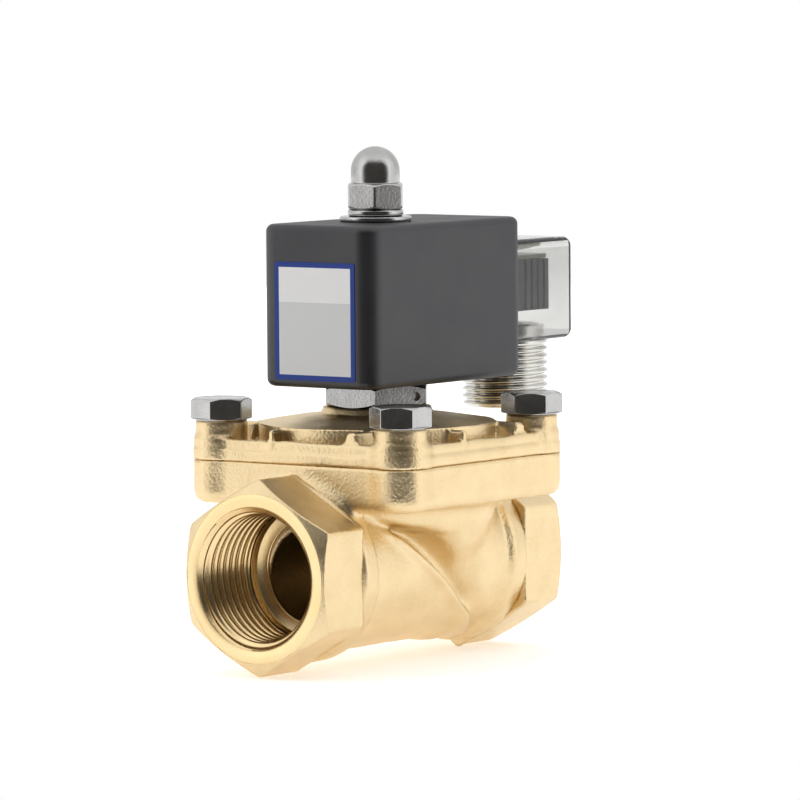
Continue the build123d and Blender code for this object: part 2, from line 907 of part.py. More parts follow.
def make_terminal_screws():
    """Two slotted screws that clamp the wires."""
    length = clamp_screw_depth - 0.8
    screws = []
    for y in (-blade_y, blade_y):
        with BuildPart() as screw:
            with BuildSketch(upright(block_far - clamp_screw_depth, clamp_screw_z)):
                with Locations((y, 0)):
                    Circle(clamp_screw_r)
            extrude(amount=length)
            slot_near = block_far - clamp_screw_depth + length - slot_depth
            slot = block(
                slot_near,
                slot_near + slot_depth + past,
                slot_width / 2,
                clamp_screw_z - 2 * clamp_screw_r,
                clamp_screw_z + 2 * clamp_screw_r,
                y,
            )
            add(slot, mode=Mode.SUBTRACT)
        screws.append(screw.part)
    return Compound(children=screws)


board_bottom = block_top + 0.1
board_thickness = 1.0
board_half_width = 9.0
lamp_r = 1.3
lamp_place = (52.0, 5.0)
lamp_height = 1.9
suppressor_near = 44.0
suppressor_length = 5.0
suppressor_y = -3.0
suppressor_half_width = 2.6
suppressor_height = 1.8


def make_circuit_board():
    top = board_bottom + board_thickness
    return block(block_near + past, block_far + past, board_half_width, board_bottom, top)


def make_suppressor_parts():
    """A lamp and a surge suppressor on the board."""
    base = board_bottom + board_thickness
    with BuildPart() as lamp:
        with BuildSketch(level(base)):
            with Locations(lamp_place):
                Circle(lamp_r)
        extrude(amount=lamp_height)
        fillet(lamp.edges().group_by(Axis.Z)[-1], lamp_r / 2)
    suppressor = block(
        suppressor_near,
        suppressor_near + suppressor_length,
        suppressor_half_width,
        base,
        base + suppressor_height,
        suppressor_y,
    )
    return Compound(children=[lamp.part, suppressor])


def make_connector_gasket():
    """A flat rubber frame between the plug and the coil, cut for the blades."""
    near = coil_far + 0.15
    far = plug_near - seat_gap
    inset = 0.4
    with BuildPart() as gasket:
        add(block(near, far, plug_half_width, plug_bottom + inset, plug_top - inset))
        for slot in blade_cuts(0.6, coil_far - past, plug_near + past):
            add(slot, mode=Mode.SUBTRACT)
        with BuildSketch(upright(coil_far)):
            Circle(screw_hole_r)
        extrude(amount=plug_near - coil_far, mode=Mode.SUBTRACT)
    return gasket.part


def make_connector_screw():
    """The long screw that holds the plug to the coil."""
    reach = plug_far - coil_far + screw_depth - 0.5
    with BuildPart() as screw:
        with BuildSketch(upright(plug_far)):
            Circle(screw_r)
        extrude(amount=-reach)
        with BuildSketch(upright(plug_far)):
            Circle(screw_head_r)
        extrude(amount=screw_head)
        fillet(screw.edges().sort_by(Axis.X)[-1], screw_head / 4)
        with BuildSketch(upright(plug_far + screw_head)):
            Rectangle(slot_width, 2 * screw_head_r + past)
        extrude(amount=-slot_depth, mode=Mode.SUBTRACT)
    return screw.part


# ---- every piece ---------------------------------------------------------------------------
pieces = {
    "valve_body": make_valve_body(),
    "bonnet": make_bonnet(),
    "bonnet_bolts": make_bonnet_bolts(),
    "diaphragm": make_diaphragm(),
    "lift_plate": make_lift_plate(),
    "lower_plate": make_lower_plate(),
    "centre_stud": make_centre_stud(),
    "centre_nut": make_centre_nut(),
    "armature": make_armature(),
    "armature_seal": make_armature_seal(),
    "armature_spring": make_armature_spring(),
    "link_hanger": make_link_hanger(),
    "armature_tube": make_armature_tube(),
    "fixed_core": make_fixed_core(),
    "tube_o_ring": make_tube_o_ring(),
    "coil_housing": make_coil_housing(),
    "coil_label": make_coil_label(),
    "bobbin": make_bobbin(),
    "winding": make_winding(),
    "yoke_frame": make_yoke_frame(),
    "lower_pole_sleeve": make_pole_sleeve(bobbin_bottom, bobbin_bottom + lower_sleeve),
    "upper_pole_sleeve": make_pole_sleeve(bobbin_top - upper_sleeve, bobbin_top),
    "coil_terminals": make_coil_terminals(),
    "lower_coil_seal": make_lower_coil_seal(),
    "upper_coil_seal": make_upper_coil_seal(),
    "flat_washer": make_flat_washer(),
    "lock_washer": make_lock_washer(),
    "cap_nut": make_cap_nut(),
    "connector_housing": make_connector_housing(),
    "conduit_hub": make_conduit_hub(),
    "hub_nut": make_hub_nut(),
    "terminal_block": make_terminal_block(),
    "terminal_sockets": make_terminal_sockets(),
    "terminal_screws": make_terminal_screws(),
    "circuit_board": make_circuit_board(),
    "suppressor_parts": make_suppressor_parts(),
    "connector_gasket": make_connector_gasket(),
    "connector_screw": make_connector_screw(),
}

for name, piece in pieces.items():
    save(piece, name)
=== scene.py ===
import bpy
import bmesh
import json
import math
import numpy as np
from mathutils import Matrix, Vector

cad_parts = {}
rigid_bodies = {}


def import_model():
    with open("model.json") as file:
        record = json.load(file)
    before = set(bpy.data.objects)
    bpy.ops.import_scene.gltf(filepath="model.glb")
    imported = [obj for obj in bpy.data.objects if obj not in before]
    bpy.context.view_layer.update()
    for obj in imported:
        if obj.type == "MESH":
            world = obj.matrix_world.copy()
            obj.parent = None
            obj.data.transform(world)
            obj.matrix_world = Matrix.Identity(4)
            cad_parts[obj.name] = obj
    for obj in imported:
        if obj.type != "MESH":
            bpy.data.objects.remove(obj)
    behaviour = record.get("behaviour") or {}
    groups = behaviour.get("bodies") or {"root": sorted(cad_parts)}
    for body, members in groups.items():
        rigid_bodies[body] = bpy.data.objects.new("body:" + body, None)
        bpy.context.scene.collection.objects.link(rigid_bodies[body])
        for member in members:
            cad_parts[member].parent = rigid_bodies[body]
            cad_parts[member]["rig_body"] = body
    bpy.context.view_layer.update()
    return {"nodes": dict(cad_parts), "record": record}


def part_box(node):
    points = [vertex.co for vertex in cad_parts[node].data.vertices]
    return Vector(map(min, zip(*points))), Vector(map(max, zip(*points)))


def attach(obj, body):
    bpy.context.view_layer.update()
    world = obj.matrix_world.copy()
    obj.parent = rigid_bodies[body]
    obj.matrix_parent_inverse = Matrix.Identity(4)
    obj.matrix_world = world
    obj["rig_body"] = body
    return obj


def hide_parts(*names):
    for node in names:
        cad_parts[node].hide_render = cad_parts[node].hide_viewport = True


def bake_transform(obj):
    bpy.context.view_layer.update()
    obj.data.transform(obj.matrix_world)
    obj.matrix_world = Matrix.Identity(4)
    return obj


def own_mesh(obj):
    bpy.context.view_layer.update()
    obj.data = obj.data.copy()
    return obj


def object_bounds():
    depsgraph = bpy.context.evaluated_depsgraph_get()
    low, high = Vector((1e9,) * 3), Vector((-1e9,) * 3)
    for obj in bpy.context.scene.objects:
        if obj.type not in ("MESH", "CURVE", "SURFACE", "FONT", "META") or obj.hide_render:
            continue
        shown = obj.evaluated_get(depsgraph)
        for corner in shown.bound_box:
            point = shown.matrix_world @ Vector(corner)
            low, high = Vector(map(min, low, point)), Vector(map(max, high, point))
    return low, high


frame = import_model()
nodes = frame["nodes"]
mm = 0.001

# the tube's axis and the joint between body and bonnet, in millimetres
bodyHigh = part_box("valve_body")[1]
washerLow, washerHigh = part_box("flat_washer")
tubeX = (washerLow.x + washerHigh.x) / 2 / mm
bodyLength = bodyHigh.x / mm
partingZ = bodyHigh.z / mm
dressed = []  # every new piece with its finish
print("stage: frame loaded")


# camera
view = {
    "azimuth": -53.54,
    "elevation": 4.29,
    "roll": -0.44,
    "distance": 1.5,
    "target": (tubeX * mm + 0.00931, 0.0, 0.03856),
    "lens": 278.44,
}


def makeCamera():
    turn, lift, roll = (math.radians(view[k]) for k in ("azimuth", "elevation", "roll"))
    level = math.cos(lift)
    back = Vector((math.sin(turn) * level, -math.cos(turn) * level, math.sin(lift)))
    right = Vector((math.cos(turn), math.sin(turn), 0))
    up = back.cross(right)
    tiltedRight = right * math.cos(roll) + up * math.sin(roll)
    tiltedUp = back.cross(tiltedRight)
    camera = bpy.data.objects.new("camera", bpy.data.cameras.new("camera"))
    camera.data.lens = view["lens"]
    camera.data.clip_end = 20
    turnMatrix = Matrix((tiltedRight, tiltedUp, back)).transposed().to_4x4()
    place = Vector(view["target"]) + back * view["distance"]
    camera.matrix_world = Matrix.Translation(place) @ turnMatrix
    bpy.context.scene.collection.objects.link(camera)
    bpy.context.scene.camera = camera


makeCamera()


# shapes as distance fields, in millimetres
def smoothMin(a, b, k):
    h = np.maximum(k - np.abs(a - b), 0) / k
    return np.minimum(a, b) - h * h * k * 0.25


def smoothMax(a, b, k):
    return -smoothMin(-a, -b, k)


def slab(value, low, high):
    return np.maximum(low - value, value - high)


def roundedSquare(u, v, half, corner):
    qu, qv = np.abs(u) - half + corner, np.abs(v) - half + corner
    outside = np.hypot(np.maximum(qu, 0), np.maximum(qv, 0))
    return outside + np.minimum(np.maximum(qu, qv), 0) - corner


def polygonField(px, py, points):
    # signed distance to a closed outline
    nearest = np.full(px.shape, 1e9)
    inside = np.zeros(px.shape, bool)
    for i in range(len(points)):
        ax, ay = points[i - 1]
        bx, by = points[i]
        ex, ey = bx - ax, by - ay
        share = np.clip(((px - ax) * ex + (py - ay) * ey) / (ex * ex + ey * ey), 0, 1)
        nearest = np.minimum(nearest, np.hypot(px - ax - share * ex, py - ay - share * ey))
        crosses = (ay > py) != (by > py)
        if ey != 0:
            inside ^= crosses & (px < ax + (py - ay) * ex / ey)
    return np.where(inside, -nearest, nearest)


cellCorners = [(i & 1, i >> 1 & 1, i >> 2) for i in range(8)]
cellEdges = [(a, b) for a in range(8) for b in range(a + 1, 8) if bin(a ^ b).count("1") == 1]
# rounds of pulling the points onto the surface; nudge and longest are shares of a cell's size
settle = {"rounds": 3, "nudge": 0.2, "longest": 0.5, "flattest": 0.2}


def meshFromField(name, field, low, high, step):
    # surface nets: one point in each cell that the surface crosses, then pulled onto it
    counts = [int(math.ceil((h - l) / step)) + 1 for l, h in zip(low, high)]
    axes = [low[i] + step * np.arange(counts[i]) for i in range(3)]
    values = np.empty(counts, np.float32)
    gridY, gridZ = np.meshgrid(axes[1], axes[2], indexing="ij")
    for i, x in enumerate(axes[0]):
        values[i] = field(np.full(gridY.shape, x), gridY, gridZ)
    cellShape = [c - 1 for c in counts]
    corners = [
        values[a:a + cellShape[0], b:b + cellShape[1], c:c + cellShape[2]]
        for a, b, c in cellCorners
    ]
    negative = sum((c < 0).astype(np.int8) for c in corners)
    active = np.argwhere((negative > 0) & (negative < 8))
    held = np.stack([c[tuple(active.T)] for c in corners], 1)
    total, crossings = np.zeros((len(active), 3)), np.zeros(len(active))
    offsets = np.array(cellCorners, float)
    for a, b in cellEdges:
        va, vb = held[:, a], held[:, b]
        cross = (va < 0) != (vb < 0)
        share = np.where(cross, va / np.where(cross, va - vb, 1), 0)[:, None]
        total += cross[:, None] * (offsets[a] + share * (offsets[b] - offsets[a]))
        crossings += cross
    points = np.array(low) + step * (active + total / crossings[:, None])
    index = np.full(cellShape, -1, np.int64)
    index[tuple(active.T)] = np.arange(len(active))
    quads = []
    for axis in range(3):
        b, c = (axis + 1) % 3, (axis + 2) % 3
        first = [slice(None)] * 3
        second = [slice(None)] * 3
        first[axis], second[axis] = slice(None, -1), slice(1, None)
        va, vb = values[tuple(first)], values[tuple(second)]
        edges = np.argwhere((va < 0) != (vb < 0))
        keep = (edges[:, b] > 0) & (edges[:, c] > 0)
        keep &= (edges[:, b] < cellShape[b]) & (edges[:, c] < cellShape[c])
        edges = edges[keep]
        outward = va[tuple(edges.T)] < 0
        stepB, stepC = np.eye(3, dtype=int)[b], np.eye(3, dtype=int)[c]
        ring = [edges - stepB - stepC, edges - stepC, edges, edges - stepB]
        quad = np.stack([index[tuple(r.T)] for r in ring], 1)
        quads.append(np.where(outward[:, None], quad, quad[:, ::-1]))
    quads = np.concatenate(quads)
    nudge = step * settle["nudge"]
    for _ in range(settle["rounds"]):
        x, y, z = points.T
        here = field(x, y, z)
        slope = np.stack(
            [
                field(x + nudge, y, z) - field(x - nudge, y, z),
                field(x, y + nudge, z) - field(x, y - nudge, z),
                field(x, y, z + nudge) - field(x, y, z - nudge),
            ],
            1,
        ) / (2 * nudge)
        size = np.maximum((slope ** 2).sum(1), settle["flattest"])
        move = -slope * (here / size)[:, None]
        length = np.linalg.norm(move, axis=1, keepdims=True)
        points = points + move * np.minimum(1, step * settle["longest"] / np.maximum(length, 1e-9))
    mesh = bpy.data.meshes.new(name)
    mesh.from_pydata((points * mm).tolist(), [], quads.tolist())
    mesh.validate()
    mesh.shade_smooth()
    return addPiece(name, mesh)


def addPiece(name, mesh):
    piece = bpy.data.objects.new(name, mesh)
    bpy.context.scene.collection.objects.link(piece)
    return piece


def settlePiece(piece, body, slot, *replaced):
    # a piece rides on a body, stands for its CAD nodes, if any, and takes a slot's finish
    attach(piece, body)
    if replaced:
        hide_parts(*replaced)
    dressed.append((piece, slot))


def ownPiece(mesh, body, slot, *replaced):
    # the mesh is in millimetres and already in place
    mesh.transform(Matrix.Scale(mm, 4))
    piece = addPiece(mesh.name, mesh)
    settlePiece(piece, body, slot, *replaced)
    return piece


def cleanMesh(name, points, faces, merge=1e-4):
    mesh = bpy.data.meshes.new(name)
    mesh.from_pydata([tuple(float(v) for v in point) for point in points], [], faces)
    work = bmesh.new()
    work.from_mesh(mesh)
    bmesh.ops.remove_doubles(work, verts=work.verts, dist=merge)
    bmesh.ops.dissolve_degenerate(work, edges=work.edges, dist=merge)
    bmesh.ops.recalc_face_normals(work, faces=work.faces)
    work.to_mesh(mesh)
    work.free()
    mesh.validate()
    mesh.shade_smooth()
    return mesh


def gridFaces(rows, columns, closeRows=False, closeColumns=True):
    # quads over points that are stored row by row
    faces = []
    for row in range(rows if closeRows else rows - 1):
        below, above = row * columns, (row + 1) % rows * columns
        for column in range(columns if closeColumns else columns - 1):
            after = (column + 1) % columns
            faces.append((below + column, below + after, above + after, above + column))
    return faces


# shapes spun about Z: a row is (height, radius), and either may change with the angle
roundTurns = np.radians(np.arange(0, 360, 3.75))
offCorner = [0.7, 1.6, 3, 5, 8, 12, 16, 20, 24, 28]
cornerSteps = [-step for step in reversed(offCorner)] + [0] + offCorner
chamferSlope = math.tan(math.radians(30))
hexTurns = np.radians([corner + step for corner in range(0, 360, 60) for step in cornerSteps])


def hexReach(acrossFlats, soften):
    # how far a hexagon's side is from its axis at each turn, with softened corners
    flat = (np.degrees(hexTurns) % 60) - 30
    cap = acrossFlats / math.sqrt(3) - soften
    return smoothMin(acrossFlats / 2 / np.cos(np.radians(flat)), cap, 2 * soften)


def spunMesh(name, rows, turns=roundTurns, loop=False):
    columns = len(turns)
    points = []
    for height, radius in rows:
        reach = np.broadcast_to(radius, columns)
        rise = np.broadcast_to(height, columns)
        points += zip(reach * np.cos(turns), reach * np.sin(turns), rise)
    faces = gridFaces(len(rows), columns, closeRows=loop)
    if not loop:
        for row in (0, len(rows) - 1):
            points.append((0, 0, float(np.mean(rows[row][0]))))
            tip = len(points) - 1
            for column in range(columns):
                faces.append((row * columns + column, row * columns + (column + 1) % columns, tip))
    return cleanMesh(name, points, faces)


def hexRows(acrossFlats, low, high, lowRadius, highRadius, soften=0.05, blunt=0.12):
    # the side of a hexagon whose ends are chamfered at 30 degrees down to the given radii
    reach = hexReach(acrossFlats, soften)
    slope = chamferSlope
    lowEdge = low + np.maximum(reach - lowRadius, 0.1) * slope
    highEdge = high - np.maximum(reach - highRadius, 0.1) * slope
    return [
        (low, lowRadius - blunt), (low + blunt * 0.3, lowRadius + blunt * 0.3),
        (lowEdge - blunt * slope, reach - blunt), (lowEdge + blunt, reach),
        (lowEdge + 2 * blunt, reach), (highEdge - 2 * blunt, reach),
        (highEdge - blunt, reach), (highEdge + blunt * slope, reach - blunt),
        (high - blunt * 0.3, highRadius + blunt * 0.3), (high, highRadius - blunt),
    ]


# valve body
port = {
    "acrossFlats": 41.0, "length": 15.5, "faceRadius": 20.2, "mouthRadius": 17.1, "faceDepth": 0.3,
    "wallRadius": 17.9, "threadBack": 16.7, "threadEnd": 18.4, "undercut": 15.5, "shoulder": 21.2,
    "passage": 12.2, "liner": 22.0, "flash": 1.0, "soften": 0.2,
}
forging = {
    "collarRadius": 21.4, "collarCore": 19.9, "collarEnd": 21.5,
    "outletLobe": 19.6, "inletLobe": 20.3, "inletStart": 12.0, "inletEnd": 33.0,
    "barrel": 17.2, "barrelStart": -30.0,
    "bowl": [(-40, -9), (12, -8.6), (19.5, -3), (25, 5), (28.0, 11.5), (29.0, 16.5), (-40, 16.5)],
    "flangeHalf": 32.6, "flangeCorner": 5.6, "flangeBottom": 15.4, "bossRadius": 6.5,
    "boltPitch": 53.5, "slopeStart": (-20.0, 11.5), "slopeEnd": (22.0, -18.2),
    "ridge": 1.1, "valley": 1.0, "ridgeTop": 11.5, "ridgeLow": -19.0, "ridgeFade": 4.0,
    "shank": 4.0, "shankFloor": 18.2, "wave": 0.06,
}
waterWay = {
    "seatTop": 18.0, "orifice": 12.5, "seatRadius": 15.4, "chamberRadius": 26.6,
    "chamberFloor": 13.0, "passage": 12.2, "drop": 2.0, "pocketHalf": 11.5, "pocketFloor": -9.0,
    "clampRadius": 28.6, "clampFloor": 24.4, "open": 27.0,
}
grid = {
    "half": 34.5, "bodyStart": 11.5, "bodyBottom": -23.0,
    "body": (1.1, 0.72), "bonnet": (0.8, 0.46),
}


def waviness(x, y, z, size):
    # the slow unevenness of a hot forging
    return size * (
        np.sin(0.31 * x + 0.17 * z + 0.6) * np.sin(0.27 * y - 0.21 * z + 1.1)
        + 0.5 * np.sin(0.53 * x - 0.41 * y) * np.sin(0.47 * z + 0.33 * x + 2.0)
    )


def bossField(u, y, radius):
    half = forging["boltPitch"] / 2
    return np.hypot(np.abs(u) - half, np.abs(y) - half) - radius


def bodyField(x, y, z):
    u = x - tubeX
    far = bodyLength - x
    radius = np.hypot(y, z)
    around = np.hypot(u, y)
    f = forging
    inward = port["length"] - 2.5
    rimStart, collarEnd = port["length"] - 0.3, f["collarEnd"]
    collars = [
        np.minimum(
            np.maximum(radius - f["collarCore"], slab(along, inward, collarEnd)),
            smoothMax(radius - f["collarRadius"], slab(along, rimStart, collarEnd), 1.6),
        )
        for along in (x, far)
    ]
    (u0, z0), (u1, z1) = f["slopeStart"], f["slopeEnd"]
    run = math.hypot(u1 - u0, z1 - z0)
    slope = ((z0 - z1) * (u - u0) + (u1 - u0) * (z - z0)) / run
    outlet = smoothMax(radius - f["outletLobe"], slope, 1.6)
    outlet = smoothMax(outlet, port["length"] - x, 1.0)
    inlet = smoothMax(radius - f["inletLobe"], slab(u, f["inletStart"], f["inletEnd"]), 5.0)
    barrel = np.maximum(radius - f["barrel"], slab(u, f["barrelStart"], f["inletEnd"]))
    bowl = polygonField(around, z, f["bowl"])
    # the bowl stops short of the outlet lobe, but stays whole where it is the chamber's wall
    bowl = smoothMax(bowl, 4.5 - slope - 1.6 * np.maximum(z - 8.5, 0), 4.0)
    shape = smoothMin(smoothMin(inlet, bowl, 6.0), barrel, 4.0)
    shape = smoothMin(shape, outlet, 2.2)
    # the lobe's upper edge stands up as a ridge, with a valley behind it that fades out upwards
    fade = np.clip((f["ridgeTop"] - z) / f["ridgeFade"], 0, 1)
    fade = fade * np.clip((z - f["ridgeLow"]) / f["ridgeFade"], 0, 1)
    ridge = f["ridge"] * np.exp(-((slope + 1.2) / 1.3) ** 2)
    valley = f["valley"] * np.exp(-((slope - 2.6) / 2.0) ** 2)
    shape = shape + fade * (valley - ridge)
    shape = smoothMin(shape, collars[0], 1.0)
    shape = smoothMin(shape, collars[1], 2.0)
    plate = roundedSquare(u, y, f["flangeHalf"], f["flangeCorner"])
    plate = smoothMin(plate, bossField(u, y, f["bossRadius"]), 2.0)
    plate = smoothMax(plate, f["flangeBottom"] - z, 3.4)
    shape = smoothMin(shape, plate, 3.4)
    shape = shape + waviness(x, y, z, f["wave"])
    shape = np.maximum(shape, np.maximum(slab(x, inward, bodyLength - inward), z - partingZ))
    w = waterWay
    hollow = np.maximum(radius - port["wallRadius"] + 0.4, np.minimum(x, far) - port["liner"] + 0.3)
    lowRadius = np.hypot(y, z + w["drop"])
    hollow = np.minimum(hollow, smoothMax(lowRadius - w["passage"], slab(x, 15, tubeX), 1.0))
    hollow = np.minimum(hollow, np.maximum(around - w["orifice"], slab(z, -w["drop"], w["open"])))
    elbow = np.sqrt(u ** 2 + y ** 2 + (z + w["drop"]) ** 2) - w["orifice"]
    hollow = smoothMin(hollow, elbow, 1.0)
    chamber = np.maximum(around - w["chamberRadius"], slab(z, w["chamberFloor"], w["open"]))
    chamber = smoothMax(chamber, -np.maximum(around - w["seatRadius"], z - w["seatTop"]), 1.0)
    behindSeat = slab(u, w["seatRadius"] + 1, w["chamberRadius"])
    pocket = np.maximum(behindSeat, np.abs(y) - w["pocketHalf"])
    pocket = smoothMax(pocket, slab(z, w["pocketFloor"], w["chamberFloor"] + 1), 3.0)
    inletRun = slab(u, w["seatRadius"] + 6, bodyLength - tubeX - 15)
    inletWay = np.maximum(radius - w["passage"], inletRun)
    clamp = np.maximum(around - w["clampRadius"], slab(z, w["clampFloor"], w["open"]))
    for space in (chamber, pocket, inletWay, clamp):
        hollow = np.minimum(hollow, space)
    shanks = np.maximum(bossField(u, y, f["shank"]), f["shankFloor"] - z)
    return np.maximum(shape, -np.minimum(hollow, shanks))


fineness = 1
valveBody = meshFromField(
    "forged_body", bodyField,
    (grid["bodyStart"], -grid["half"], grid["bodyBottom"]),
    (bodyLength - grid["bodyStart"], grid["half"], partingZ + 1.3), grid["body"][fineness],
)
settlePiece(valveBody, "valve", "forged_brass", "valve_body")
print("stage: body", len(valveBody.data.polygons))


# a thread, as rows of points that climb with the helix
def threadedSleeve(name, thread, columns=96, rows=8):
    # crest and root are its radii, back the plain side's; it stands on z = 0
    t = thread
    middle = (t["crest"] + t["root"]) / 2
    profile = [t["crest"], t["crest"], middle, t["root"], t["root"], t["root"], middle, t["crest"]]
    sign = 1 if t["back"] > t["crest"] else -1
    rowCount = (int(math.ceil(t["length"] / t["pitch"])) + 1) * rows
    turns = 2 * math.pi * np.arange(columns + 1) / columns
    points = []
    for row in range(-rows, rowCount + 1):
        height = np.clip((row / rows + turns / (2 * math.pi)) * t["pitch"], 0, t["length"])
        mouth = t["crest"] + sign * np.maximum(t["mouth"] - height, 0)
        radius = np.full(columns + 1, profile[row % rows])
        radius = np.maximum(radius, mouth) if sign > 0 else np.minimum(radius, mouth)
        points += zip(radius * np.cos(turns), radius * np.sin(turns), height)
    for height in (t["length"], 0):
        points += zip(
            t["back"] * np.cos(turns), t["back"] * np.sin(turns), np.full(columns + 1, height)
        )
    faces = gridFaces(rowCount + rows + 3, columns + 1, closeRows=True, closeColumns=False)
    return cleanMesh(name, points, faces)


# the two ports: a forged hexagon, a turned liner with the face and shoulder, and the thread
pipeThread = {
    "crest": 15.15, "root": 16.45, "back": 17.0, "pitch": 2.309, "length": 18.3, "mouth": 1.95,
}


def portHexagon(name):
    reach = hexReach(port["acrossFlats"], port["soften"])
    edge = np.maximum(reach - port["faceRadius"], 0.15) * chamferSlope
    turn = np.degrees(hexTurns) % 360
    onFlat = np.clip(1.15 - np.abs(turn - 210) / 30, 0, 1) ** 0.5  # the upper flat on the -Y side
    ragged = 0.75 + 0.15 * np.sin(turn * 1.7) + 0.1 * np.sin(turn * 4.1 + 1)
    flash = port["flash"] * onFlat * ragged
    length = port["length"]
    wall = port["wallRadius"]
    rows = [
        (0.0, wall), (0.0, port["faceRadius"] - 0.1), (0.05, port["faceRadius"] + 0.05),
        (edge - 0.2, reach - 0.35), (edge - 0.04, reach - 0.08), (edge + 0.3, reach),
        (edge + 0.7, reach), (length * 0.5, reach), (length - 1.5, reach),
        (length - 0.95, reach + flash * 0.35),
        (length - 0.55, reach + flash), (length + flash * 0.4, reach + flash * 0.9),
        (length + 0.1 + flash * 0.3, reach - 0.3), (length + 0.1, reach - 1.2), (length, wall),
    ]
    return spunMesh(name, rows, hexTurns, loop=True)


def portLiner(name):
    p = port
    face, mouth = p["faceRadius"], p["mouthRadius"]
    rows = [
        (0.0, face - 0.12), (-0.02, face - 0.3), (-0.02, mouth + 0.2),
        (0.03, mouth + 0.06), (0.14, mouth - 0.05), (0.5, p["threadBack"] + 0.02),
        (p["threadEnd"] - 0.2, p["threadBack"]), (p["threadEnd"] - 0.2, p["undercut"]),
        (p["shoulder"] - 0.3, p["undercut"]), (p["shoulder"], p["undercut"] - 0.25),
        (p["shoulder"], p["passage"] + 0.35), (p["shoulder"] + 0.1, p["passage"] + 0.1),
        (p["shoulder"] + 0.35, p["passage"]), (p["liner"], p["passage"]),
        (p["liner"], p["wallRadius"]), (p["faceDepth"], p["wallRadius"]),
        (p["faceDepth"], face - 0.12),
    ]
    return spunMesh(name, rows, loop=True)


def makePort(side, start, direction):
    turn = Matrix.Rotation(math.radians(90 * direction), 4, "Y")
    place = Matrix.Translation((start * mm, 0, 0)) @ turn @ Matrix.Scale(mm, 4)
    meshes = {
        "hexagon": (portHexagon(side + "_hexagon"), "forged_brass"),
        "liner": (portLiner(side + "_liner"), "turned_brass"),
        "thread": (threadedSleeve(side + "_thread", pipeThread), "turned_brass"),
    }
    for mesh, slot in meshes.values():
        mesh.transform(place)
        settlePiece(addPiece(mesh.name, mesh), "valve", slot)


makePort("outlet", 0, 1)
makePort("inlet", bodyLength, -1)
print("stage: ports")


# bonnet
cover = {
    "step": 28.8, "floor": 29.4, "rim": 31.2, "bossTop": 35.2, "rimWidth": 1.5, "discRadius": 28.8,
    "discTop": 34.2, "domeTop": 36.3, "hubRadius": 13.0, "hubTop": 38.0, "inset": 0.5,
    "ribTop": 33.6, "lugTop": 34.0, "ribAlong": 8.0, "lugAlong": -15.5, "shank": 4.4, "wave": 0.07,
    "cavity": [
        (-40, 20), (26.6, 20), (26.6, 26.8), (13.0, 32.4), (9.0, 32.4), (9.0, 50), (-40, 50),
    ],
}


def bonnetField(x, y, z):
    u = x - tubeX
    around = np.hypot(u, y)
    c = cover
    f = forging
    boss = bossField(u, y, f["bossRadius"])
    lower = smoothMin(roundedSquare(u, y, f["flangeHalf"], f["flangeCorner"]), boss, 2.0)
    lower = smoothMax(lower, z - c["step"], 1.0)
    upperPlan = roundedSquare(u, y, f["flangeHalf"] - c["inset"], f["flangeCorner"])
    upperPlan = smoothMin(upperPlan, boss + 0.2, 2.0)
    upper = smoothMax(upperPlan, z - c["rim"], 1.2)
    trough = roundedSquare(u, y, f["flangeHalf"] - c["inset"] - c["rimWidth"], 4.0)
    trough = smoothMax(trough, c["floor"] - z, 1.2)
    shape = smoothMax(np.minimum(lower, upper), -trough, 0.8)
    disc, top = c["discRadius"], c["discTop"]
    hub, hubTop = c["hubRadius"], c["hubTop"]
    middle = polygonField(
        around, z,
        [
            (-40, 26), (disc, 26), (disc, top), (disc - 4.0, top + 0.7), (disc - 9.0, top + 1.4),
            (hub + 0.8, c["domeTop"]), (hub, hubTop), (-40, hubTop),
        ],
    )
    shape = smoothMin(shape, middle + 0.15, 1.6)
    bosses = smoothMax(boss + 0.3, z - c["bossTop"], 0.8)
    shape = smoothMin(shape, bosses, 1.6)
    # each side carries a thin rib and a short lug between the disc and the rim
    for out, along in ((-u, y), (-y, -u), (u, -y), (y, u)):
        rib = np.maximum(np.abs(along - c["ribAlong"]) - 0.7, slab(out, 27.0, 31.8))
        shape = smoothMin(shape, smoothMax(rib, z - c["ribTop"], 0.6), 0.8)
        taper = (z - c["rim"]) * 0.4
        lug = np.maximum(np.abs(along - c["lugAlong"]) - 2.2 + taper, slab(out, 24.0, 31.2))
        shape = smoothMin(shape, smoothMax(lug, z - c["lugTop"], 0.9), 0.8)
    shape = shape + waviness(x, y, z, c["wave"])
    shape = np.maximum(shape, partingZ - z)
    cavity = polygonField(around, z, c["cavity"])
    return np.maximum(shape, -np.minimum(cavity, bossField(u, y, c["shank"])))


bonnet = meshFromField(
    "forged_bonnet", bonnetField,
    (tubeX - grid["half"], -grid["half"], partingZ - 1.1),
    (tubeX + grid["half"], grid["half"], cover["hubTop"] + 1.5), grid["bonnet"][fineness],
)
settlePiece(bonnet, "valve", "forged_brass", "bonnet")
print("stage: bonnet", len(bonnet.data.polygons))


# bonnet bolts: one head, set at four points that each carry their own turn
bolt = {
    "acrossFlats": 13.0, "head": 5.3, "washerFace": 0.35, "washerRadius": 6.3, "lowRadius": 7.3,
    "topRadius": 6.5, "shank": 3.95, "length": 16.0,
    "turns": {(-1, -1): -2.0, (-1, 1): 17.0, (1, -1): 2.0, (1, 1): 35.0},
}


def boltMesh():
    b = bolt
    rows = [
        (-b["length"], b["shank"] - 0.6), (-b["length"] + 0.6, b["shank"]), (0, b["shank"]),
        (0, b["washerRadius"] - 0.08), (0.06, b["washerRadius"]),
        (b["washerFace"], b["washerRadius"]),
    ]
    rows += hexRows(b["acrossFlats"], b["washerFace"], b["head"], b["lowRadius"], b["topRadius"])
    rows.append((b["head"] - 0.12, b["topRadius"] - 1.1))
    return spunMesh("bolt_pattern", rows, hexTurns)


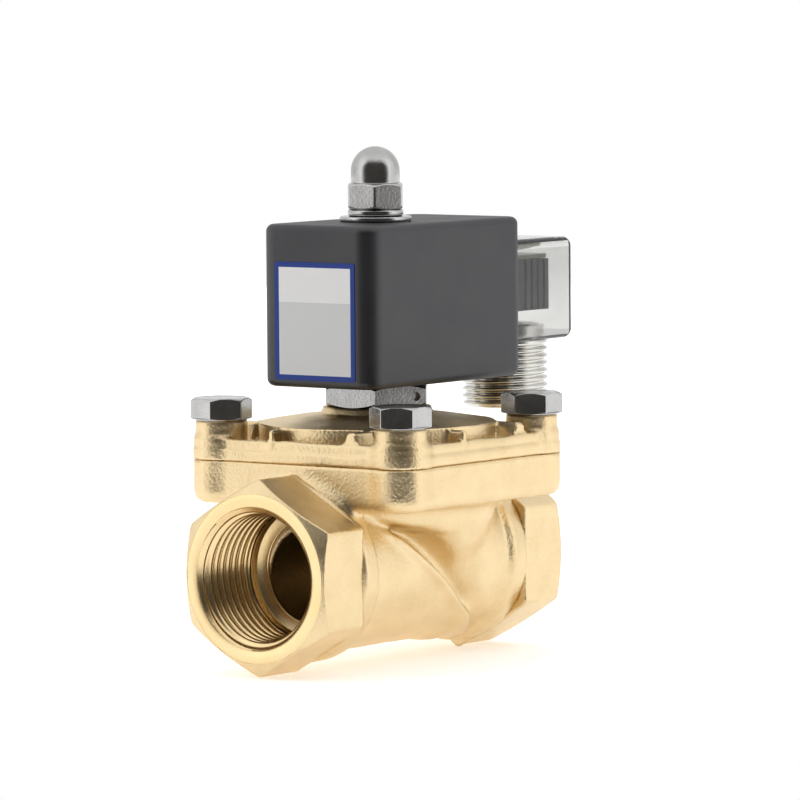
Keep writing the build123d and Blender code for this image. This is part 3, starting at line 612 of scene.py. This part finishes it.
def boltTree(material):
    tree = bpy.data.node_groups.new("boltsAtPoints", "GeometryNodeTree")
    face = tree.interface
    face.new_socket("Geometry", in_out="INPUT", socket_type="NodeSocketGeometry")
    face.new_socket("Bolt", in_out="INPUT", socket_type="NodeSocketObject")
    size = face.new_socket("Size", in_out="INPUT", socket_type="NodeSocketFloat")
    size.default_value = 1.0
    face.new_socket("Geometry", in_out="OUTPUT", socket_type="NodeSocketGeometry")
    entry, leave = tree.nodes.new("NodeGroupInput"), tree.nodes.new("NodeGroupOutput")
    shape = tree.nodes.new("GeometryNodeObjectInfo")
    turn = tree.nodes.new("GeometryNodeInputNamedAttribute")
    turn.inputs["Name"].default_value = "turn"
    spin = tree.nodes.new("ShaderNodeCombineXYZ")
    place = tree.nodes.new("GeometryNodeInstanceOnPoints")
    solid = tree.nodes.new("GeometryNodeRealizeInstances")
    paint = tree.nodes.new("GeometryNodeSetMaterial")
    paint.inputs["Material"].default_value = material
    link = tree.links.new
    link(entry.outputs["Bolt"], shape.inputs["Object"])
    link(entry.outputs["Geometry"], place.inputs["Points"])
    link(shape.outputs["Geometry"], place.inputs["Instance"])
    link(turn.outputs["Attribute"], spin.inputs["Z"])
    link(spin.outputs["Vector"], place.inputs["Rotation"])
    link(entry.outputs["Size"], place.inputs["Scale"])
    link(place.outputs["Instances"], solid.inputs["Geometry"])
    link(solid.outputs["Geometry"], paint.inputs["Geometry"])
    link(paint.outputs["Geometry"], leave.inputs["Geometry"])
    return tree


def growTree(piece, tree, values):
    # runs a tree on a piece, keeps the result as a plain mesh and removes the modifier
    modifier = piece.modifiers.new("grow", "NODES")
    modifier.node_group = tree
    for item in tree.interface.items_tree:
        if item.in_out == "INPUT" and item.name in values:
            modifier[item.identifier] = values[item.name]
    bpy.context.view_layer.update()
    evaluated = piece.evaluated_get(bpy.context.evaluated_depsgraph_get())
    grown = bpy.data.meshes.new_from_object(evaluated)
    piece.modifiers.remove(modifier)
    piece.data = grown


def makeBolts(material):
    half = forging["boltPitch"] / 2
    mesh = bpy.data.meshes.new("bonnet_bolt_set")
    corners = [(tubeX + sx * half, sy * half, cover["bossTop"]) for sx, sy in bolt["turns"]]
    mesh.from_pydata([tuple(v * mm for v in corner) for corner in corners], [], [])
    turn = mesh.attributes.new("turn", "FLOAT", "POINT")
    for item, angle in zip(turn.data, bolt["turns"].values()):
        item.value = math.radians(angle)
    piece = addPiece("bonnet_bolt_set", mesh)
    pattern = addPiece("bolt_pattern", boltMesh())
    growTree(piece, boltTree(material), {"Bolt": pattern, "Size": mm})
    bpy.data.objects.remove(pattern)
    settlePiece(piece, "valve", "stainless_steel", "bonnet_bolts")


# the domed nut over the coil
capNut = {
    "acrossFlats": 13.0, "hex": 6.3, "height": 15.1, "dome": 5.9, "faceRadius": 6.3, "turn": 35.0,
    "boreRadius": 4.05, "boreDepth": 11.7,
}


def makeCapNut():
    n = capNut
    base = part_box("cap_nut")[0].z / mm
    centre = n["height"] - n["dome"]
    rows = [(n["boreDepth"], n["boreRadius"]), (0.4, n["boreRadius"]), (0, n["boreRadius"] + 0.4)]
    rows += hexRows(n["acrossFlats"], 0, n["hex"], n["faceRadius"], n["dome"] + 0.25)
    rows += [(n["hex"] + 0.1, n["dome"] - 0.05), (n["hex"] + 0.35, n["dome"]), (centre, n["dome"])]
    for angle in np.radians(np.arange(7.5, 89, 7.5)):
        rows.append((centre + n["dome"] * math.sin(angle), n["dome"] * math.cos(angle)))
    mesh = spunMesh("domed_nut", rows, hexTurns)
    mesh.transform(
        Matrix.Translation((tubeX, 0, base)) @ Matrix.Rotation(math.radians(n["turn"]), 4, "Z")
    )
    ownPiece(mesh, "cap_nut", "stainless_steel", "cap_nut")


makeCapNut()


# the two washers under the nut, with rounded edges; the split one opens at the back
washers = {
    "flat_washer": {"inner": 4.15, "outer": 8.65, "round": 0.35, "split": 0},
    "lock_washer": {"inner": 4.1, "outer": 6.7, "round": 0.6, "split": 5},
}
splitTowards = 36.5  # degrees from +X
splitColumns = 97


def cappedTube(rings, sides):
    faces = gridFaces(rings, sides)
    for start in (0, (rings - 1) * sides):
        faces.append(tuple(range(start, start + sides)))
    return faces


def washerMesh(name, low, high, inner, outer, edge, split):
    # split is half the opening's angle in degrees
    section = [(low, inner), (low, outer - edge)]
    for centre, start in ((low + edge, -90), (high - edge, 0)):
        for angle in np.radians(np.arange(start, start + 91, 22.5)):
            section.append((centre + edge * math.sin(angle), outer - edge + edge * math.cos(angle)))
    section += [(high, outer - edge), (high, inner)]
    if not split:
        return spunMesh(name, section, loop=True)
    turns = np.radians(splitTowards + split + np.linspace(0, 360 - 2 * split, splitColumns))
    points = [(r * math.cos(turn), r * math.sin(turn), z) for turn in turns for z, r in section]
    return cleanMesh(name, points, cappedTube(len(turns), len(section)))


for node, w in washers.items():
    low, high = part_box(node)
    ring = washerMesh(
        "rounded_" + node, low.z / mm, high.z / mm, w["inner"], w["outer"], w["round"], w["split"]
    )
    ring.transform(Matrix.Translation((tubeX, 0, 0)))
    ownPiece(ring, nodes[node]["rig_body"], "stainless_steel", node)


# the threaded hub under the connector
conduit = {"bore": 7.9, "boreDepth": 15.0, "neck": 7.6, "innerBore": 6.6, "collar": 1.1}
hubThread = {
    "crest": 10.55, "root": 9.75, "back": 7.95, "pitch": 1.81, "length": 15.4, "mouth": 0.9,
}


def makeConduitHub():
    low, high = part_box("conduit_hub")
    x, y = (low.x + high.x) / 2 / mm, (low.y + high.y) / 2 / mm
    bottom, top = low.z / mm, high.z / mm
    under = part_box("connector_housing")[0].z / mm
    thread = threadedSleeve("hub_thread", hubThread)
    thread.transform(Matrix.Translation((x, y, bottom)))
    ownPiece(thread, "connector", "nickel_plate")
    bore, neck, innerBore = conduit["bore"], conduit["neck"], conduit["innerBore"]
    outer, core = hubThread["crest"], hubThread["root"] - 0.3
    collar = under - conduit["collar"]
    shoulder = bottom + conduit["boreDepth"]
    rows = [
        (bottom + 0.3, bore + 0.05), (bottom + 0.3, core), (collar - 0.2, core),
        (collar - 0.1, outer - 0.1), (collar, outer), (under - 0.15, outer),
        (under - 0.05, outer - 0.1), (under - 0.05, neck), (top, neck), (top, innerBore),
        (shoulder, innerBore), (shoulder, bore),
    ]
    mesh = spunMesh("threaded_hub", rows, loop=True)
    mesh.transform(Matrix.Translation((x, y, 0)))
    ownPiece(mesh, "connector", "nickel_plate", "conduit_hub")


makeConduitHub()
print("stage: fasteners")


# inside: the diaphragm that rolls between seat and rim, and the spring over the armature
membrane = {"hole": 4.2, "thickness": 1.6, "flat": 16.0, "slopeEnd": 23.4, "rim": 28.6, "rows": 14}


def makeDiaphragm():
    m = membrane
    low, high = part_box("diaphragm")
    seat, clampLow, clampHigh = low.z / mm, waterWay["clampFloor"], high.z / mm
    share = np.linspace(0, 1, m["rows"])
    ease = share * share * (3 - 2 * share)
    slope = [(m["flat"] + (m["slopeEnd"] - m["flat"]) * a, b) for a, b in zip(share, ease)]
    under = [(seat, m["hole"]), (seat, m["flat"] - 4)]
    under += [(seat + (clampLow - seat) * b, r) for r, b in slope] + [(clampLow, m["rim"])]
    upperSeat = seat + m["thickness"]
    upper = [(upperSeat, m["hole"]), (upperSeat, m["flat"] - 4)]
    upper += [(upperSeat + (clampHigh - upperSeat) * b, r - 0.5) for r, b in slope]
    upper += [(clampHigh, m["rim"])]
    mesh = spunMesh("rubber_diaphragm", under + upper[::-1], loop=True)
    mesh.transform(Matrix.Scale(mm, 4) @ Matrix.Translation((tubeX, 0, 0)))
    piece = addPiece("rubber_diaphragm", mesh)
    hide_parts("diaphragm")
    dressed.append((piece, "seal_rubber"))
    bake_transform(piece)


spring = {"turns": 7, "radius": 3.3, "wire": 0.45, "sides": 10, "steps": 28, "travel": 8.0}


def makeSpring():
    low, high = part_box("armature_spring")
    p = spring
    bottom, top = low.z / mm + p["wire"], high.z / mm - p["wire"]
    count = p["turns"] * p["steps"]
    points = []
    for i in range(count + 1):
        share = i / count
        angle = 2 * math.pi * p["turns"] * share
        ease = min(1, max(0, (share - 1 / p["turns"]) / (1 - 2 / p["turns"])))
        height = bottom + (top - bottom) * ease
        for k in range(p["sides"]):
            around = 2 * math.pi * k / p["sides"]
            reach = p["radius"] + p["wire"] * math.cos(around)
            rise = height + p["wire"] * math.sin(around)
            points.append((tubeX + reach * math.cos(angle), reach * math.sin(angle), rise))
    mesh = cleanMesh("return_spring", points, cappedTube(count + 1, p["sides"]), merge=1e-5)
    piece = ownPiece(mesh, "valve", "spring_steel", "armature_spring")
    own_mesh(piece)


makeDiaphragm()
makeSpring()
print("stage: inside")


# materials
def nodeMaterial(name):
    material = bpy.data.materials.new(name)
    material.use_nodes = True
    tree = material.node_tree
    shader = tree.nodes["Principled BSDF"]
    place = tree.nodes.new("ShaderNodeTexCoord").outputs["Object"]
    return material, tree, shader, place


def skinGroup():
    # colour spots, roughness spots and a fine grain, for any finish
    group = bpy.data.node_groups.new("surfaceGrain", "ShaderNodeTree")
    face = group.interface
    face.new_socket("Vector", in_out="INPUT", socket_type="NodeSocketVector")
    for name, value in (("Grain Scale", 900.0), ("Patch Scale", 60.0), ("Grain Depth", 0.3),
                        ("Patch Depth", 0.3), ("Roughness Low", 0.3), ("Roughness High", 0.4)):
        socket = face.new_socket(name, in_out="INPUT", socket_type="NodeSocketFloat")
        socket.default_value = value
    for name in ("Color A", "Color B"):
        face.new_socket(name, in_out="INPUT", socket_type="NodeSocketColor")
    face.new_socket("Color", in_out="OUTPUT", socket_type="NodeSocketColor")
    face.new_socket("Roughness", in_out="OUTPUT", socket_type="NodeSocketFloat")
    face.new_socket("Normal", in_out="OUTPUT", socket_type="NodeSocketVector")
    entry, leave = group.nodes.new("NodeGroupInput"), group.nodes.new("NodeGroupOutput")
    grain = group.nodes.new("ShaderNodeTexNoise")
    patch = group.nodes.new("ShaderNodeTexNoise")
    grain.inputs["Detail"].default_value = 3
    patch.inputs["Detail"].default_value = 5
    for texture, scale in ((grain, "Grain Scale"), (patch, "Patch Scale")):
        group.links.new(entry.outputs["Vector"], texture.inputs["Vector"])
        group.links.new(entry.outputs[scale], texture.inputs["Scale"])
    spread = group.nodes.new("ShaderNodeMapRange")
    spread.inputs["From Min"].default_value = 0.35
    spread.inputs["From Max"].default_value = 0.65
    group.links.new(patch.outputs["Fac"], spread.inputs["Value"])
    mix = group.nodes.new("ShaderNodeMix")
    mix.data_type = "RGBA"
    group.links.new(spread.outputs["Result"], mix.inputs["Factor"])
    group.links.new(entry.outputs["Color A"], mix.inputs[6])
    group.links.new(entry.outputs["Color B"], mix.inputs[7])
    rough = group.nodes.new("ShaderNodeMapRange")
    group.links.new(patch.outputs["Fac"], rough.inputs["Value"])
    rough.inputs["From Min"].default_value = 0.3
    rough.inputs["From Max"].default_value = 0.7
    group.links.new(entry.outputs["Roughness Low"], rough.inputs["To Min"])
    group.links.new(entry.outputs["Roughness High"], rough.inputs["To Max"])
    fine, slow = group.nodes.new("ShaderNodeBump"), group.nodes.new("ShaderNodeBump")
    bumps = ((fine, grain, "Grain Depth", 0.00006), (slow, patch, "Patch Depth", 0.0004))
    for bump, texture, strength, depth in bumps:
        bump.inputs["Distance"].default_value = depth
        group.links.new(texture.outputs["Fac"], bump.inputs["Height"])
        group.links.new(entry.outputs[strength], bump.inputs["Strength"])
    group.links.new(slow.outputs["Normal"], fine.inputs["Normal"])
    group.links.new(mix.outputs[2], leave.inputs["Color"])
    group.links.new(rough.outputs["Result"], leave.inputs["Roughness"])
    group.links.new(fine.outputs["Normal"], leave.inputs["Normal"])
    return group


surfaceGrain = skinGroup()


def grainedMaterial(name, colorA, colorB, metallic, roughness, grain, patch, **extra):
    # grain and patch are (scale, depth) pairs
    material, tree, shader, place = nodeMaterial(name)
    skin = tree.nodes.new("ShaderNodeGroup")
    skin.node_tree = surfaceGrain
    tree.links.new(place, skin.inputs["Vector"])
    pairs = {"Grain Scale": grain[0], "Grain Depth": grain[1], "Patch Scale": patch[0],
             "Patch Depth": patch[1], "Roughness Low": roughness[0], "Roughness High": roughness[1],
             "Color A": (*colorA, 1), "Color B": (*colorB, 1)}
    for socket, value in pairs.items():
        skin.inputs[socket].default_value = value
    tree.links.new(skin.outputs["Color"], shader.inputs["Base Color"])
    for socket in ("Roughness", "Normal"):
        tree.links.new(skin.outputs[socket], shader.inputs[socket])
    shader.inputs["Metallic"].default_value = metallic
    for socket, value in extra.items():
        shader.inputs[socket].default_value = value
    return material


finishes = {
    "forged_brass": grainedMaterial(
        "forgedBrass", (0.80, 0.65, 0.41), (0.87, 0.72, 0.48), 1.0,
        (0.30, 0.46), (1500, 2.2), (140, 0.3)
    ),
    "turned_brass": grainedMaterial(
        "turnedBrass", (0.83, 0.65, 0.38), (0.87, 0.70, 0.43), 1.0,
        (0.20, 0.28), (2200, 0.15), (90, 0.04)
    ),
    "stainless_steel": grainedMaterial(
        "stainlessSteel", (0.46, 0.458, 0.455), (0.56, 0.555, 0.55), 1.0,
        (0.13, 0.24), (1500, 0.5), (160, 0.05)
    ),
    "magnetic_steel": grainedMaterial(
        "magneticSteel", (0.42, 0.42, 0.43), (0.52, 0.52, 0.53), 1.0,
        (0.28, 0.4), (2000, 0.3), (120, 0.2)
    ),
    "spring_steel": grainedMaterial(
        "springSteel", (0.55, 0.55, 0.56), (0.63, 0.63, 0.64), 1.0,
        (0.2, 0.3), (2000, 0.2), (200, 0.1)
    ),
    "nickel_plate": grainedMaterial(
        "nickelPlate", (0.62, 0.61, 0.58), (0.70, 0.69, 0.66), 1.0,
        (0.12, 0.22), (2600, 0.15), (200, 0.04)
    ),
    "plated_contact": grainedMaterial(
        "tinPlate", (0.72, 0.71, 0.68), (0.78, 0.77, 0.74), 1.0,
        (0.25, 0.35), (2000, 0.2), (200, 0.1)
    ),
    "coil_plastic": grainedMaterial(
        "coilPlastic", (0.013, 0.014, 0.019), (0.017, 0.018, 0.025), 0.0,
        (0.44, 0.52), (2400, 0.6), (110, 0.06), IOR=1.95
    ),
    "grey_plastic": grainedMaterial(
        "greyPlastic", (0.05, 0.05, 0.055), (0.07, 0.07, 0.075), 0.0,
        (0.35, 0.45), (2200, 0.3), (150, 0.1)
    ),
    "white_plastic": grainedMaterial(
        "naturalPlastic", (0.80, 0.80, 0.76), (0.84, 0.84, 0.80), 0.0,
        (0.4, 0.5), (2000, 0.2), (150, 0.1)
    ),
    "seal_rubber": grainedMaterial(
        "sealRubber", (0.018, 0.018, 0.019), (0.026, 0.026, 0.027), 0.0,
        (0.55, 0.7), (1800, 0.4), (120, 0.2)
    ),
    "copper_wire": grainedMaterial(
        "copperWire", (0.72, 0.30, 0.13), (0.80, 0.38, 0.18), 1.0,
        (0.25, 0.35), (1500, 0.2), (120, 0.1)
    ),
    "board": grainedMaterial(
        "laminateBoard", (0.42, 0.40, 0.32), (0.50, 0.48, 0.40), 0.0,
        (0.3, 0.4), (1500, 0.2), (120, 0.1)
    ),
}


def clearPlastic():
    material, tree, shader, place = nodeMaterial("clearPlastic")
    shader.inputs["Base Color"].default_value = (0.80, 0.80, 0.79, 1)
    shader.inputs["Transmission Weight"].default_value = 1.0
    shader.inputs["IOR"].default_value = 1.5
    noise = tree.nodes.new("ShaderNodeTexNoise")
    noise.inputs["Scale"].default_value = 300
    tree.links.new(place, noise.inputs["Vector"])
    span = tree.nodes.new("ShaderNodeMapRange")
    span.inputs["To Min"].default_value = 0.04
    span.inputs["To Max"].default_value = 0.14
    tree.links.new(noise.outputs["Fac"], span.inputs["Value"])
    tree.links.new(span.outputs["Result"], shader.inputs["Roughness"])
    return material


finishes["clear_plastic"] = clearPlastic()


labelPrint = {"border": 1.25, "blue": (0.02, 0.07, 0.36), "white": (0.98, 0.98, 0.98),
              "grey": (0.80, 0.805, 0.81), "split": 0.66}


def labelFilm():
    # a blue border round a white field above a grey one
    material, tree, shader, place = nodeMaterial("labelFilm")
    low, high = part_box("coil_label")
    parts = tree.nodes.new("ShaderNodeSeparateXYZ")
    tree.links.new(place, parts.inputs["Vector"])

    def compare(source, operation, value):
        node = tree.nodes.new("ShaderNodeMath")
        node.operation = operation
        tree.links.new(source, node.inputs[0])
        node.inputs[1].default_value = value
        return node.outputs[0]

    def paint(mask, colorA, colorB):
        mix = tree.nodes.new("ShaderNodeMix")
        mix.data_type = "RGBA"
        tree.links.new(mask, mix.inputs["Factor"])
        for socket, color in ((6, colorA), (7, colorB)):
            if isinstance(color, tuple):
                mix.inputs[socket].default_value = (*color, 1)
            else:
                tree.links.new(color, mix.inputs[socket])
        return mix.outputs[2]

    border = labelPrint["border"] * mm
    across = compare(parts.outputs["Y"], "ABSOLUTE", 0)
    sides = compare(across, "GREATER_THAN", (high.y - low.y) / 2 - border)
    upper = compare(parts.outputs["Z"], "GREATER_THAN", high.z - border)
    lower = compare(parts.outputs["Z"], "LESS_THAN", low.z + border)
    middle = low.z + (high.z - low.z) * labelPrint["split"]
    field = compare(parts.outputs["Z"], "GREATER_THAN", middle)
    color = paint(field, labelPrint["grey"], labelPrint["white"])
    for mask in (sides, upper, lower):
        color = paint(mask, color, labelPrint["blue"])
    tree.links.new(color, shader.inputs["Base Color"])
    shader.inputs["Roughness"].default_value = 0.38
    return material


finishes["label_film"] = labelFilm()


def dress(piece, finish):
    piece.data.materials.clear()
    piece.data.materials.append(finishes[finish])


makeBolts(finishes["stainless_steel"])
for row in frame["record"]["subparts"]:
    dress(nodes[row["node"]], row["material_slot"])
for piece, slot in dressed:
    dress(piece, slot)
print("stage: materials")


# floor and light
studio = {
    "front": 0.115, "sides": 1.52, "farSides": 0.98, "behind": 0.95, "top": 1.1,
    "frontEdge": (0.81, 0.665), "behindEdge": (0.3, 0.16), "tableFront": 0.17, "tableHalf": 1.6,
    "topEdge": (0.55, 0.9), "frontTint": (1.0, 0.95, 0.88), "floorColor": 0.9, "floorGlow": 0.42,
    "gamma": 0.82,
}


def makeFloor():
    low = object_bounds()[0]
    mesh = bpy.data.meshes.new("floor")
    half, front = studio["tableHalf"], studio["tableFront"]
    rim = [(-half, -front, 0), (half, -front, 0), (half, half, 0), (-half, half, 0)]
    mesh.from_pydata(rim, [], [(0, 1, 2, 3)])
    turn = Matrix.Rotation(math.radians(view["azimuth"]), 4, "Z")
    mesh.transform(Matrix.Translation((tubeX * mm, 0, low.z)) @ turn)
    floor = addPiece("floor", mesh)
    material, _, shader, _ = nodeMaterial("floorPaint")
    shader.inputs["Base Color"].default_value = (studio["floorColor"],) * 3 + (1,)
    shader.inputs["Roughness"].default_value = 0.9
    shader.inputs["Emission Color"].default_value = (1, 1, 1, 1)
    shader.inputs["Emission Strength"].default_value = studio["floorGlow"]
    floor.data.materials.append(material)


def makeWorld():
    # a light tent: dark where the camera stands, bright to both sides, grey behind
    world = bpy.data.worlds.new("studio")
    world.use_nodes = True
    tree = world.node_tree
    output = tree.nodes["World Output"]
    tent = tree.nodes["Background"]
    place = tree.nodes.new("ShaderNodeTexCoord").outputs["Generated"]
    turn = math.radians(view["azimuth"])
    toCamera = tree.nodes.new("ShaderNodeVectorMath")
    toCamera.operation = "DOT_PRODUCT"
    toCamera.inputs[1].default_value = (math.sin(turn), -math.cos(turn), 0)
    tree.links.new(place, toCamera.inputs[0])
    shift = tree.nodes.new("ShaderNodeMapRange")
    shift.inputs["From Min"].default_value = -1
    tree.links.new(toCamera.outputs["Value"], shift.inputs["Value"])
    ramp = tree.nodes.new("ShaderNodeValToRGB")
    stops = [
        (0.0, studio["behind"]), (studio["behindEdge"][1], studio["behind"]),
        (studio["behindEdge"][0], studio["farSides"]), (studio["frontEdge"][1], studio["sides"]),
        (studio["frontEdge"][0], studio["front"]), (1.0, studio["front"]),
    ]
    while len(ramp.color_ramp.elements) < len(stops):
        ramp.color_ramp.elements.new(0.5)
    for element, (position, level) in zip(ramp.color_ramp.elements, stops):
        element.position = position
        tint = studio["frontTint"] if level == studio["front"] else (1, 1, 1)
        element.color = (*[level * share for share in tint], 1)
    tree.links.new(shift.outputs["Result"], ramp.inputs["Fac"])
    parts = tree.nodes.new("ShaderNodeSeparateXYZ")
    tree.links.new(place, parts.inputs["Vector"])
    rise = tree.nodes.new("ShaderNodeMapRange")
    rise.interpolation_type = "SMOOTHSTEP"
    rise.inputs["From Min"].default_value, rise.inputs["From Max"].default_value = studio["topEdge"]
    tree.links.new(parts.outputs["Z"], rise.inputs["Value"])
    overhead = tree.nodes.new("ShaderNodeMix")
    overhead.data_type = "RGBA"
    tree.links.new(rise.outputs["Result"], overhead.inputs["Factor"])
    tree.links.new(ramp.outputs["Color"], overhead.inputs[6])
    overhead.inputs[7].default_value = (studio["top"],) * 3 + (1,)
    tree.links.new(overhead.outputs[2], tent.inputs["Color"])
    white = tree.nodes.new("ShaderNodeBackground")
    choose = tree.nodes.new("ShaderNodeMixShader")
    seen = tree.nodes.new("ShaderNodeLightPath").outputs["Is Camera Ray"]
    white.inputs["Color"].default_value = (1, 1, 1, 1)
    tree.links.new(seen, choose.inputs["Fac"])
    tree.links.new(tent.outputs["Background"], choose.inputs[1])
    tree.links.new(white.outputs["Background"], choose.inputs[2])
    tree.links.new(choose.outputs["Shader"], output.inputs["Surface"])
    bpy.context.scene.world = world
    bpy.context.scene.view_settings.view_transform = "Standard"
    bpy.context.scene.view_settings.gamma = studio["gamma"]


makeFloor()
makeWorld()
print("stage: studio")
